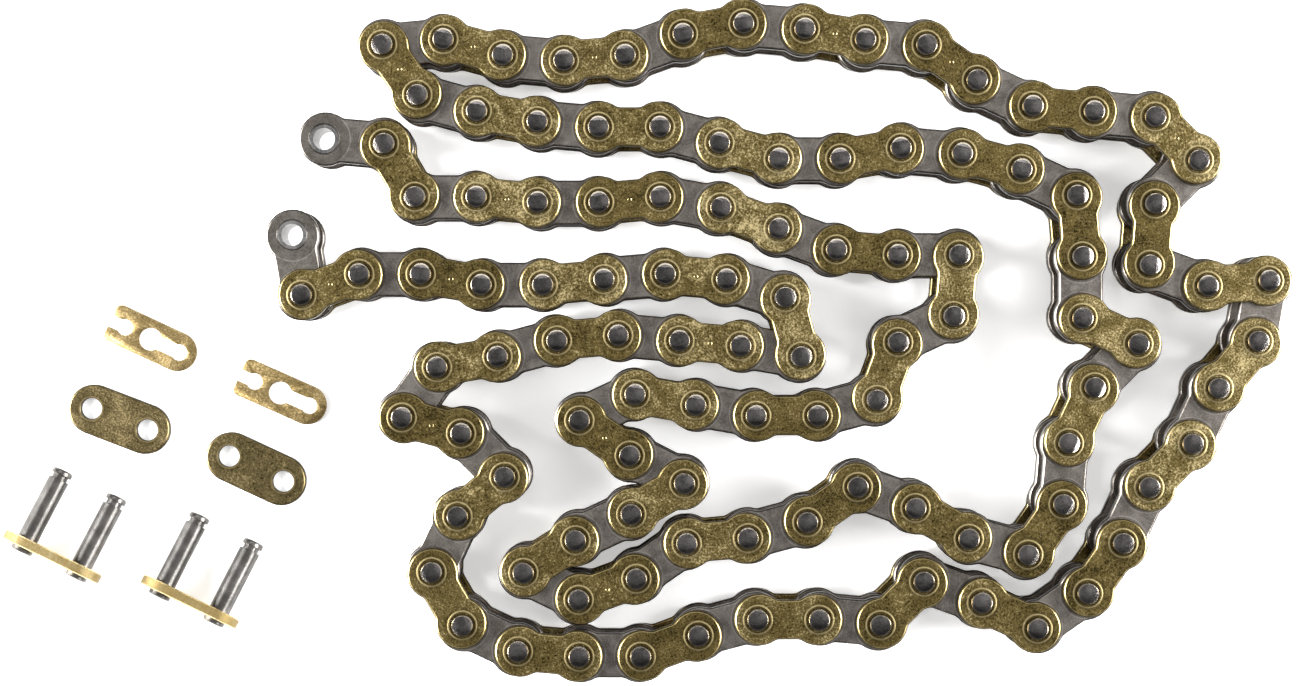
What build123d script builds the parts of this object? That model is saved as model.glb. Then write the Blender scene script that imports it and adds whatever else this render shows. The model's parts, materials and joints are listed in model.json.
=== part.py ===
from build123d import *
import os
from math import atan, atan2, cos, degrees, pi, radians, sin, sqrt

# A motorcycle roller chain with two loose sets of the parts that join its ends.
# Millimetres, +Z up. The chain lies on its side, so every riveted pin stands upright.

# --- Links ---------------------------------------------------------------------------------
pitch = 12.7                      # from one pin to the next
inner_width = 7.9                 # between the two inner plates
plate_thickness = 2.0
side_play = 0.1                   # between an inner plate and the outer plate beside it
plate_chamfer = 0.25

pin_radius = 2.225
pin_running_clearance = 0.05      # pin in bush
pin_head_height = 1.0             # riveted end beyond the outer plate
pin_head_chamfer = 0.3

bush_radius = 3.15
roller_radius = 4.255
roller_running_clearance = 0.05   # roller on bush
roller_end_play = 0.1             # between a roller's end and the inner plate
roller_chamfer = 0.25

outer_plate_half_width = 5.3
outer_plate_end_reach = 4.85      # from the pin's centre to the plate's end
outer_plate_waist_half_width = 4.05
inner_plate_half_width = 5.6
inner_plate_end_reach = 5.3
inner_plate_waist_half_width = 4.6
plate_waist_fillet = 2.0          # where a straight waist meets a round lobe

# --- Connecting links, cover plates and clips ----------------------------------------------
cover_plate_half_width = 5.3
cover_plate_end_reach = 4.8
cover_hole_clearance = 0.04       # cover plate on a connecting pin
rivet_head_overhang = 0.175       # beyond the connecting pin it closes
rivet_head_height = 1.0
clip_thickness = 0.9
clip_groove_clearance = 0.1       # groove width beyond the clip's thickness
clip_groove_depth = 0.525
pin_tip_height = 1.2              # head beyond the groove
pin_tip_chamfer = 0.4

clip_half_width = 4.15
clip_open_end_reach = 3.4         # from the open slot's centre to the prongs' tips
clip_closed_end_reach = 3.7       # from the closed slot's centre to the clip's rounded end
clip_prong_fillet = 1.3
clip_slot_clearance = 0.05        # slot on the pin's groove
clip_mouth_half_width = 1.3
clip_keyhole_clearance = 0.195    # keyhole's wide end round a pin's tip
clip_keyhole_distance = 5.97      # from the open slot's centre
clip_neck_half_width = 1.45       # the keyhole's waist, between its wide and narrow ends

rivet_head_radius = pin_radius + rivet_head_overhang
clip_groove_radius = pin_radius - clip_groove_depth
clip_keyhole_radius = pin_radius + clip_keyhole_clearance

# --- Stack heights, from the floor up ------------------------------------------------------
outer_face_half = inner_width / 2 + 2 * plate_thickness + side_play
pin_half_length = outer_face_half + pin_head_height
mid_height = pin_half_length
bush_half_length = inner_width / 2 + plate_thickness
bush_bore_radius = pin_radius + pin_running_clearance
roller_bore_radius = bush_radius + roller_running_clearance
roller_half_length = inner_width / 2 - roller_end_play

lower_outer_base = mid_height - outer_face_half
lower_inner_base = mid_height - bush_half_length
upper_inner_base = mid_height + inner_width / 2
upper_outer_base = mid_height + outer_face_half - plate_thickness

# --- The lay: heading of every link, in degrees from +X, from free end A to free end B ------
# Links with an even place in the list are inner links, the others outer.
top_strand = [-5, -60, 0, -5, 0, 5, -10, -20, -20, -5, 0]
first_turn_back = [-95, -155, -110, -165, 180, 170, 170, -155]
first_fold = [-35, -27, -150, -155, -148]
second_fold = [-26, 20, 35, 5, 15, 35, -20, -30, -15, 55, 85, 65, 45]
right_loop = [155, 90, 95, 155, 165, 175, -170, 180, 165, 165, 180, 175, 170, 165, 125]
middle_strand = [5, -15, -5, 5, 20, 10, -5, -10, -5, -35, -25, -5, -5, -45]
lower_right_turn = [-135, -95, -20, 5, -100, -130, -115, -135, -115, -125, -145]
bottom_strand = [155, 160, -135, 175, 180, -165, -160, 180, 175, 155, 120, 65, 40]
inner_coil = [135, 165, 55, 10, 15, 5, -5, -5, -10, 105]
last_strand = [163, 175, -175, -175, 180, 170, 180, -160, 100]
headings = (
    top_strand + first_turn_back + first_fold + second_fold + right_loop
    + middle_strand + lower_right_turn + bottom_strand + inner_coil + last_strand
)
end_a_tail_links = 4              # links beside free end A that swing one by one
end_b_tail_links = 6

# --- Where the loose parts lie: (x, y) from free end A's bush, and heading ------------------
clip_places = [((-44, -39), -25), ((-16.5, -50.5), -24)]
cover_places = [((-45, -58.5), -21), ((-16, -69), -25)]
connecting_places = [((-58, -86.5), -26), ((-29, -96), -26)]


def chain_points():
    """Centres of the chain's holes and pins, from free end A to free end B."""
    x, y = 0.0, 0.0
    points = [(x, y)]
    for heading in headings:
        x += pitch * cos(radians(heading))
        y += pitch * sin(radians(heading))
        points.append((x, y))
    return points


def figure_eight_face(half_width, end_reach, waist_half_width):
    """A plate's outline: two round lobes joined by a straight waist, with a tangent fillet at each join."""
    radius, fillet_radius = half_width, plate_waist_fillet
    offset = pitch / 2 + end_reach - radius
    reach = radius + fillet_radius
    rise = waist_half_width + fillet_radius
    run = sqrt(reach**2 - rise**2)
    waist_end = offset - run
    join_x, join_y = offset - run * radius / reach, rise * radius / reach
    lean = (pi / 2 + atan2(rise, run)) / 2          # half the fillet's turn, seen from its centre
    fillet_x, fillet_y = waist_end + fillet_radius * cos(lean), rise - fillet_radius * sin(lean)

    def fillet_at(side_x, side_y):
        return [(side_x * x, side_y * y) for x, y in
                ((waist_end, waist_half_width), (fillet_x, fillet_y), (join_x, join_y))]

    right_up, left_up, left_down, right_down = (
        fillet_at(*sides) for sides in ((1, 1), (-1, 1), (-1, -1), (1, -1))
    )
    outline = Wire([
        ThreePointArc(*right_up),
        ThreePointArc(right_up[2], (offset + radius, 0), right_down[2]),
        ThreePointArc(*right_down[::-1]),
        Line(right_down[0], left_down[0]),
        ThreePointArc(*left_down),
        ThreePointArc(left_down[2], (-offset - radius, 0), left_up[2]),
        ThreePointArc(*left_up[::-1]),
        Line(left_up[0], right_up[0]),
    ])
    return Face(outline)


def straight_sided_face(half_width, end_reach):
    """A cover or connecting plate's outline: straight sides and round ends."""
    offset = pitch / 2 + end_reach - half_width
    return SlotCenterToCenter(2 * offset, 2 * half_width).face()


def plate(outline, hole_radius):
    """A plate standing on z = 0, its rims broken and its two holes one pitch apart."""
    blank = extrude(outline, plate_thickness, dir=(0, 0, 1))
    blank = chamfer(blank.edges().filter_by(Plane.XY), plate_chamfer)
    for x in (-pitch / 2, pitch / 2):
        blank -= Pos(x, 0, plate_thickness / 2) * Cylinder(hole_radius, 2 * plate_thickness)
    return blank.solid()


def ring(outer_radius, bore_radius, half_length, rim=0.0):
    """A bush or roller centred on z = 0."""
    body = Cylinder(outer_radius, 2 * half_length)
    if rim:
        body = chamfer(body.edges(), rim)
    return (body - Cylinder(bore_radius, 4 * half_length)).solid()


def riveted_pin():
    body = Cylinder(pin_radius, 2 * pin_half_length)
    return chamfer(body.edges(), pin_head_chamfer).solid()


outer_plate = plate(
    figure_eight_face(outer_plate_half_width, outer_plate_end_reach, outer_plate_waist_half_width),
    pin_radius,
)
inner_plate = plate(
    figure_eight_face(inner_plate_half_width, inner_plate_end_reach, inner_plate_waist_half_width),
    bush_radius,
)
pin = riveted_pin()
bush = ring(bush_radius, bush_bore_radius, bush_half_length)
roller = ring(roller_radius, roller_bore_radius, roller_half_length, roller_chamfer)

points = chain_points()
link_count = len(headings)


def at_link(shape, index, height):
    """A copy of a plate over the middle of one link, along its heading."""
    (x0, y0), (x1, y1) = points[index], points[index + 1]
    return Pos((x0 + x1) / 2, (y0 + y1) / 2, height) * Rot(0, 0, headings[index]) * shape


def at_point(shape, index):
    """A copy of a pin, bush or roller at one hole of the chain, at mid height."""
    x, y = points[index]
    return Pos(x, y, mid_height) * shape


def is_inner(index):
    return index % 2 == 0


# --- The chain -------------------------------------------------------------------------------
nodes = {}


def add_link(index, names):
    """Adds one link's solids to the nodes that names gives for its kinds of piece."""
    if is_inner(index):
        nodes.setdefault(names["inner_plates_upper"], []).append(at_link(inner_plate, index, upper_inner_base))
        nodes.setdefault(names["inner_plates_lower"], []).append(at_link(inner_plate, index, lower_inner_base))
        for end in (index, index + 1):
            nodes.setdefault(names["bushes"], []).append(at_point(bush, end))
        for roller_name, end in zip(names["rollers"], (index, index + 1)):
            nodes.setdefault(roller_name, []).append(at_point(roller, end))
    else:
        nodes.setdefault(names["outer_plates_upper"], []).append(at_link(outer_plate, index, upper_outer_base))
        nodes.setdefault(names["outer_plates_lower"], []).append(at_link(outer_plate, index, lower_outer_base))
        for end in (index, index + 1):
            nodes.setdefault(names["pins"], []).append(at_point(pin, end))


def run_names():
    kinds = ("inner_plates_upper", "inner_plates_lower", "outer_plates_upper", "outer_plates_lower")
    names = {kind: f"run_{kind}" for kind in kinds + ("bushes", "pins")}
    names["rollers"] = ("run_rollers", "run_rollers")
    return names


def tail_names(end, number, first_roller_is_outermost):
    """Node names of the number-th inner or outer link counted from a free end."""
    names = {
        "inner_plates_upper": f"{end}_inner_plate_upper_{number}",
        "inner_plates_lower": f"{end}_inner_plate_lower_{number}",
        "outer_plates_upper": f"{end}_outer_plate_upper_{number}",
        "outer_plates_lower": f"{end}_outer_plate_lower_{number}",
        "bushes": f"{end}_bushes_{number}",
        "pins": f"{end}_pins_{number}",
    }
    rollers = (f"{end}_roller_{2 * number - 1}", f"{end}_roller_{2 * number}")
    names["rollers"] = rollers if first_roller_is_outermost else rollers[::-1]
    return names


for index in range(link_count):
    from_end_b = link_count - 1 - index
    if index < end_a_tail_links:
        add_link(index, tail_names("end_a", index // 2 + 1, True))
    elif from_end_b < end_b_tail_links:
        add_link(index, tail_names("end_b", from_end_b // 2 + 1, False))
    else:
        add_link(index, run_names())


# --- Cover plates ----------------------------------------------------------------------------
cover_plate = plate(
    straight_sided_face(cover_plate_half_width, cover_plate_end_reach),
    pin_radius + cover_hole_clearance,
)
for number, ((x, y), heading) in enumerate(cover_places, 1):
    nodes[f"cover_plate_{number}"] = [Pos(x, y, 0) * Rot(0, 0, heading) * cover_plate]


# --- Spring clips: the open slot's centre is the origin, the closed end towards +X -----------
def spring_clip():
    """The flat spring clip, lying on z = 0."""
    slot_radius = clip_groove_radius + clip_slot_clearance
    end_centre = pitch + clip_closed_end_reach - clip_half_width
    body = Pos((end_centre - clip_open_end_reach) / 2, 0) * Rectangle(
        end_centre + clip_open_end_reach, 2 * clip_half_width
    )
    body = fillet(body.vertices().group_by(Axis.X)[0], clip_prong_fillet)
    body += Pos(end_centre, 0) * Circle(clip_half_width)

    mouth = Pos(-clip_open_end_reach, 0) * Rectangle(2 * clip_open_end_reach, 2 * clip_mouth_half_width)
    open_slot = Circle(slot_radius) + mouth
    neck = Pos((clip_keyhole_distance + pitch) / 2, 0) * Rectangle(
        pitch - clip_keyhole_distance, 2 * clip_neck_half_width
    )
    keyhole = Pos(clip_keyhole_distance, 0) * Circle(clip_keyhole_radius) + neck
    keyhole += Pos(pitch, 0) * Circle(slot_radius)
    return extrude((body - open_slot - keyhole).face(), clip_thickness, dir=(0, 0, 1)).solid()


clip = spring_clip()
for number, ((x, y), heading) in enumerate(clip_places, 1):
    nodes[f"spring_clip_{number}"] = [Pos(x, y, 0) * Rot(0, 0, heading) * clip]


# --- Connecting links: built upright on the plate's inner face, then laid on one side --------
groove_width = clip_thickness + clip_groove_clearance
groove_base = 2 * side_play + 2 * bush_half_length + plate_thickness
connecting_pin_length = groove_base + groove_width + pin_tip_height


def grooved_pin():
    """A connecting pin, riveted below the plate and grooved for the clip near its tip."""
    rivet_base = -plate_thickness - rivet_head_height
    head = Pos(0, 0, rivet_base + rivet_head_height / 2) * Cylinder(rivet_head_radius, rivet_head_height)
    head = chamfer(head.edges().group_by(Axis.Z)[0], pin_head_chamfer)
    shank = Pos(0, 0, (groove_base - plate_thickness) / 2) * Cylinder(pin_radius, groove_base + plate_thickness)
    core = Pos(0, 0, groove_base + groove_width / 2) * Cylinder(clip_groove_radius, groove_width)
    tip = Pos(0, 0, connecting_pin_length - pin_tip_height / 2) * Cylinder(pin_radius, pin_tip_height)
    tip = chamfer(tip.edges().group_by(Axis.Z)[-1], pin_tip_chamfer)
    return (head + shank + core + tip).solid()


connecting_plate = Pos(0, 0, -plate_thickness) * plate(
    straight_sided_face(cover_plate_half_width, cover_plate_end_reach), pin_radius
)
connecting_pins = [Pos(x, 0, 0) * grooved_pin() for x in (-pitch / 2, pitch / 2)]

# The link rests on its plate's long edge and on both pin tips.
lean = atan((cover_plate_half_width - pin_radius) / (connecting_pin_length - pin_tip_chamfer))
axis_height = cover_plate_half_width * cos(lean)
for number, ((x, y), heading) in enumerate(connecting_places, 1):
    place = Pos(x, y, axis_height) * Rot(0, 0, heading) * Rot(-90 - degrees(lean), 0, 0)
    nodes[f"connecting_plate_{number}"] = [place * connecting_plate]
    nodes[f"connecting_pins_{number}"] = [place * shape for shape in connecting_pins]


# --- The whole set stands centred over the origin, on z = 0 ----------------------------------
def middle_of(low_and_high):
    return (min(low_and_high) + max(low_and_high)) / 2


boxes = [shape.bounding_box() for shapes in nodes.values() for shape in shapes]
centre_x = middle_of([box.min.X for box in boxes] + [box.max.X for box in boxes])
centre_y = middle_of([box.min.Y for box in boxes] + [box.max.Y for box in boxes])

os.makedirs("parts", exist_ok=True)
for name, shapes in nodes.items():
    placed = [Pos(-centre_x, -centre_y, 0) * shape for shape in shapes]
    export_step(placed[0] if len(placed) == 1 else Compound(children=placed), f"parts/{name}.step")
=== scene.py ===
"""Looks of a motorcycle drive chain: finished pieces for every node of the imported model, and its studio."""

from __future__ import annotations

import json
import logging
import math
import random
from collections.abc import Iterable, Sequence
from dataclasses import dataclass, field
from enum import Enum

import bpy
import numpy as np
from mathutils import Matrix, Vector

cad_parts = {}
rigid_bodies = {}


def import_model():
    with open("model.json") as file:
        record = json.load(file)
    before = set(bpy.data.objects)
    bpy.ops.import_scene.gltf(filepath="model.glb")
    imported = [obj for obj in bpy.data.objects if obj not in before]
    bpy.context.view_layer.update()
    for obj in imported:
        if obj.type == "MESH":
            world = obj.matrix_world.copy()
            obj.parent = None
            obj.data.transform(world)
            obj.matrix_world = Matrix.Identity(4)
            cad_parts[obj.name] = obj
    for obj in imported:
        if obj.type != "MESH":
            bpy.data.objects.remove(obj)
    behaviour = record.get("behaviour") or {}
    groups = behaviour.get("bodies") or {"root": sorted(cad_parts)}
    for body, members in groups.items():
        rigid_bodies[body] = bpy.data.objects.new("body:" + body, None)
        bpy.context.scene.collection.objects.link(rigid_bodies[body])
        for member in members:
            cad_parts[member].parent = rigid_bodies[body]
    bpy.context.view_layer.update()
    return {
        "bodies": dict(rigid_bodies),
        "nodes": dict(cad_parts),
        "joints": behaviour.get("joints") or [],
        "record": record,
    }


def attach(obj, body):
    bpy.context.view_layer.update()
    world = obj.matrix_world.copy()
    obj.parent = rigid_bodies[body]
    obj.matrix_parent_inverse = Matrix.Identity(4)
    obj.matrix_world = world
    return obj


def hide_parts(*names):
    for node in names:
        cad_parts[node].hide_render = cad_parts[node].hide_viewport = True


LOG = logging.getLogger("drive_chain")
MM = 0.001
SEED = 428


# --- Modelling --------------------------------------------------------------------------------


class Bench:
    """Modelling steps that every piece uses. Sizes are in millimetres until a piece is finished."""

    @staticmethod
    def clear_selection() -> None:
        """Deselects everything, so that an operator acts on one piece alone."""
        if bpy.context.object and bpy.context.object.mode != "OBJECT":
            bpy.ops.object.mode_set(mode="OBJECT")
        bpy.ops.object.select_all(action="DESELECT")

    @staticmethod
    def pick(piece: bpy.types.Object) -> None:
        """Makes one object the selected and active one."""
        Bench.clear_selection()
        piece.select_set(True)
        bpy.context.view_layer.objects.active = piece

    @staticmethod
    def named(name: str) -> bpy.types.Object:
        """Names the active object, settles its place into its mesh and returns it."""
        piece = bpy.context.object
        piece.name = name
        bpy.ops.object.transform_apply(location=True, rotation=True, scale=True)
        return piece

    @staticmethod
    def disc(name: str, radius: float, low: float, high: float, x: float = 0.0, y: float = 0.0,
             sides: int = 40, top_radius: float | None = None) -> bpy.types.Object:
        """A round blank standing on z = low.

        Args:
            name: The blank's name.
            radius: Its radius, at the foot if top_radius is given.
            low: Height of its foot.
            high: Height of its top.
            x: Place of its axis.
            y: Place of its axis.
            sides: Number of facets round it.
            top_radius: Radius at the top, for a cone.

        Returns:
            The blank.
        """
        Bench.clear_selection()
        bpy.ops.mesh.primitive_cone_add(
            vertices=sides, radius1=radius, radius2=radius if top_radius is None else top_radius,
            depth=high - low, location=(x, y, (low + high) / 2),
        )
        return Bench.named(name)

    @staticmethod
    def block(name: str, low: Sequence[float], high: Sequence[float]) -> bpy.types.Object:
        """A square blank between two corners."""
        Bench.clear_selection()
        middle = [(a + b) / 2 for a, b in zip(low, high)]
        bpy.ops.mesh.primitive_cube_add(size=1, location=middle)
        bpy.context.object.scale = [b - a for a, b in zip(low, high)]
        return Bench.named(name)

    @staticmethod
    def boolean(piece: bpy.types.Object, tool: bpy.types.Object, operation: str) -> None:
        """Joins a tool to a piece or cuts it away, and removes the tool."""
        Bench.pick(piece)
        step = piece.modifiers.new("boolean", "BOOLEAN")
        step.operation = operation
        step.solver = "EXACT"
        step.object = tool
        bpy.ops.object.modifier_apply(modifier=step.name)
        bpy.data.objects.remove(tool)

    @staticmethod
    def bevel(piece: bpy.types.Object, width: float, above_degrees: float) -> None:
        """Breaks the edges of a piece that turn by more than an angle."""
        Bench.pick(piece)
        step = piece.modifiers.new("bevel", "BEVEL")
        step.width = width
        step.segments = 2
        step.limit_method = "ANGLE"
        step.angle_limit = math.radians(above_degrees)
        bpy.ops.object.modifier_apply(modifier=step.name)

    @staticmethod
    def outlined(name: str, outline: Sequence[tuple[float, float]], low: float, high: float) -> bpy.types.Object:
        """A flat blank: a filled circle's points are moved onto the outline, and it is extruded upwards.

        Args:
            name: The blank's name.
            outline: The points round it, anticlockwise.
            low: Height of its lower face.
            high: Height of its upper face.

        Returns:
            The blank.
        """
        Bench.clear_selection()
        bpy.ops.mesh.primitive_circle_add(vertices=len(outline), fill_type="NGON")
        piece = Bench.named(name)
        for vertex, (x, y) in zip(piece.data.vertices, outline):
            vertex.co = (x, y, low)
        bpy.ops.object.mode_set(mode="EDIT")
        bpy.ops.mesh.select_all(action="SELECT")
        bpy.ops.mesh.extrude_region_move(TRANSFORM_OT_translate={"value": (0, 0, high - low)})
        bpy.ops.mesh.select_all(action="SELECT")
        bpy.ops.mesh.normals_make_consistent(inside=False)
        bpy.ops.object.mode_set(mode="OBJECT")
        return piece

    @staticmethod
    def slope_rims(piece: bpy.types.Object, steps: Sequence[tuple[float, float]]) -> None:
        """Raises both flat faces of a plate step by step, each step's rim sloping inwards.

        Args:
            piece: The plate's blank, without holes.
            steps: Width and rise of each step, from the outside in.
        """
        Bench.pick(piece)
        bpy.ops.object.mode_set(mode="EDIT")
        bpy.ops.mesh.select_mode(type="FACE")
        bpy.ops.mesh.select_all(action="DESELECT")
        bpy.ops.object.mode_set(mode="OBJECT")
        for face in piece.data.polygons:
            face.select = abs(face.normal.z) > 0.99
        bpy.ops.object.mode_set(mode="EDIT")
        for width, rise in steps:
            bpy.ops.mesh.inset(thickness=width, depth=rise, use_even_offset=True)
        bpy.ops.object.mode_set(mode="OBJECT")

    @staticmethod
    def tidy(piece: bpy.types.Object) -> None:
        """Merges doubled points and turns every face outwards."""
        Bench.pick(piece)
        bpy.ops.object.mode_set(mode="EDIT")
        bpy.ops.mesh.select_all(action="SELECT")
        bpy.ops.mesh.remove_doubles(threshold=0.0005)
        bpy.ops.mesh.normals_make_consistent(inside=False)
        bpy.ops.object.mode_set(mode="OBJECT")

    @staticmethod
    def turned(name: str, profile: Sequence[tuple[float, float]], sides: int, ring: bool = False) -> bpy.types.Object:
        """A piece turned about +Z, drawn up from its foot loop by loop.

        Args:
            name: The piece's name.
            profile: (radius, height) of each loop, from the foot on.
            sides: Number of facets round it.
            ring: True for a ring, whose profile comes back to its first loop.

        Returns:
            The turned piece.
        """
        Bench.clear_selection()
        radius, height = profile[0]
        bpy.ops.mesh.primitive_circle_add(
            vertices=sides, radius=radius, fill_type="NOTHING" if ring else "NGON", location=(0, 0, height),
        )
        piece = Bench.named(name)
        bpy.ops.object.mode_set(mode="EDIT")
        bpy.ops.mesh.select_all(action="SELECT")
        for next_radius, next_height in list(profile[1:]) + ([profile[0]] if ring else []):
            move = {"value": (0, 0, next_height - height)}
            if ring:
                bpy.ops.mesh.extrude_edges_move(TRANSFORM_OT_translate=move)
            else:
                bpy.ops.mesh.extrude_region_move(TRANSFORM_OT_translate=move)
            share = next_radius / radius
            bpy.ops.transform.resize(value=(share, share, 1), center_override=(0, 0, next_height))
            radius, height = next_radius, next_height
        bpy.ops.object.mode_set(mode="OBJECT")
        Bench.tidy(piece)
        return piece

    @staticmethod
    def shave(piece: bpy.types.Object, point: Sequence[float], normal: Sequence[float]) -> None:
        """Cuts away what lies beyond a plane and closes the cut."""
        Bench.pick(piece)
        bpy.ops.object.mode_set(mode="EDIT")
        bpy.ops.mesh.select_all(action="SELECT")
        bpy.ops.mesh.bisect(plane_co=point, plane_no=normal, use_fill=True, clear_outer=True)
        bpy.ops.object.mode_set(mode="OBJECT")


@dataclass
class Pattern:
    """A modelled piece in its own millimetres, from which copies are placed."""

    piece: bpy.types.Object

    def __post_init__(self) -> None:
        """Writes each point's own place on the piece, which the finishes read."""
        mesh = self.piece.data
        places = np.zeros(len(mesh.vertices) * 3, np.float32)
        mesh.vertices.foreach_get("co", places)
        mesh.attributes.new("local", "FLOAT_VECTOR", "POINT").data.foreach_set("vector", places)
        mesh.attributes.new("chance", "FLOAT", "POINT")
        self.piece.hide_render = True

    def copy_to(self, place: Matrix, chance: float) -> bpy.types.Object:
        """A copy of the piece with its own mesh, in metres, at one place of the frame.

        Args:
            place: Where the copy goes, in metres.
            chance: The copy's own random number, which varies its finish.

        Returns:
            The copy, with its object at the origin.
        """
        copy = self.piece.copy()
        copy.data = self.piece.data.copy()
        copy.data.transform(place @ Matrix.Scale(MM, 4))
        count = len(copy.data.vertices)
        copy.data.attributes["chance"].data.foreach_set("value", np.full(count, chance, np.float32))
        copy.hide_render = False
        bpy.context.scene.collection.objects.link(copy)
        return copy

    def discard(self) -> None:
        """Removes the master once its copies stand."""
        bpy.data.objects.remove(self.piece)


def assemble(name: str, copies: Sequence[bpy.types.Object], finish: bpy.types.Material,
             smooth_degrees: float = 30.0) -> bpy.types.Object:
    """Joins placed copies into one named piece and dresses it.

    Args:
        name: The piece's name.
        copies: The placed copies.
        finish: Its material.
        smooth_degrees: Edges that turn by more than this stay sharp.

    Returns:
        The joined piece.
    """
    Bench.clear_selection()
    for copy in copies:
        copy.select_set(True)
    bpy.context.view_layer.objects.active = copies[0]
    if len(copies) > 1:
        bpy.ops.object.join()
    piece = bpy.context.object
    piece.name = name
    piece.data.name = name
    bpy.ops.object.shade_smooth_by_angle(angle=math.radians(smooth_degrees))
    piece.data.materials.clear()
    piece.data.materials.append(finish)
    return piece


# --- Finishes ---------------------------------------------------------------------------------


class Sock:
    """A shader value that takes Python's own arithmetic."""

    def __init__(self, tree: bpy.types.NodeTree, output: bpy.types.NodeSocket) -> None:
        """Wraps one output of a node."""
        self.tree = tree
        self.output = output

    def maths(self, operation: str, *others: Sock | float, swap: bool = False) -> Sock:
        """One Math node on this value and the others.

        Args:
            operation: The node's operation.
            others: Its further inputs.
            swap: True to put this value after the first of the others.

        Returns:
            The node's value.
        """
        node = self.tree.nodes.new("ShaderNodeMath")
        node.operation = operation
        values = [self, *others]
        if swap:
            values[0], values[1] = values[1], values[0]
        for socket, value in zip(node.inputs, values):
            if isinstance(value, Sock):
                self.tree.links.new(value.output, socket)
            else:
                socket.default_value = value
        return Sock(self.tree, node.outputs[0])

    def __add__(self, other: Sock | float) -> Sock:
        """The sum."""
        return self.maths("ADD", other)

    def __sub__(self, other: Sock | float) -> Sock:
        """The difference."""
        return self.maths("SUBTRACT", other)

    def __rsub__(self, other: float) -> Sock:
        """The difference, the other way round."""
        return self.maths("SUBTRACT", other, swap=True)

    def __mul__(self, other: Sock | float) -> Sock:
        """The product."""
        return self.maths("MULTIPLY", other)

    def __pow__(self, other: float) -> Sock:
        """The power."""
        return self.maths("POWER", other)

    __radd__ = __add__
    __rmul__ = __mul__

    def size(self) -> Sock:
        """The value without its sign."""
        return self.maths("ABSOLUTE")

    def ramp(self, low: float, high: float) -> Sock:
        """0 at low, 1 at high, and smooth between them."""
        node = self.tree.nodes.new("ShaderNodeMapRange")
        node.interpolation_type = "SMOOTHSTEP"
        self.tree.links.new(self.output, node.inputs["Value"])
        node.inputs["From Min"].default_value = low
        node.inputs["From Max"].default_value = high
        return Sock(self.tree, node.outputs["Result"])

    def band(self, middle: float, half_width: float) -> Sock:
        """1 at the middle, falling to 0 half a width either side."""
        return 1 - (self - middle).size().ramp(0.0, half_width)


Colour = tuple[float, float, float]


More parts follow.
